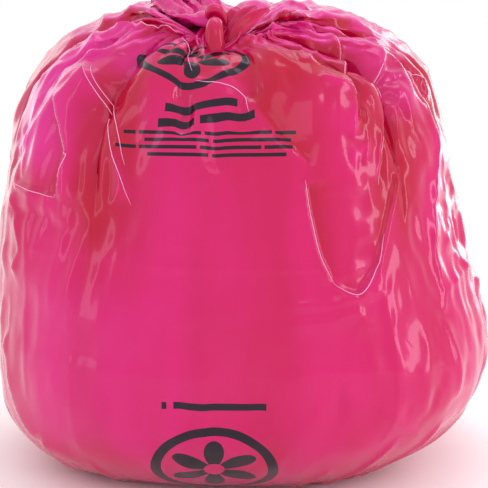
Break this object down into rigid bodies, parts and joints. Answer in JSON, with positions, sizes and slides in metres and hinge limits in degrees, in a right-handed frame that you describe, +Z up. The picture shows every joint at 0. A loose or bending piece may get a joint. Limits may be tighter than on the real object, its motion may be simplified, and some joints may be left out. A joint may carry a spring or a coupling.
{
  "type": "waste bag",
  "caption": "Filled waste bag of thin glossy film standing on its base, its neck gathered and tied in a knot of its own film.",
  "frame": {"origin": "on the floor, under the middle of the bag's bounding box", "axes": "+Z up through the bag, front with the print towards -Y, +X to the right seen from the front"},
  "size_m": [0.5344, 0.4863, 0.5172],
  "materials": {
    "film": "thin translucent red-pink polyethylene film, glossy, with soft wrinkles"
  },
  "bodies": {
    "root": {"bag_film": "film"}
  },
  "joints": []
}
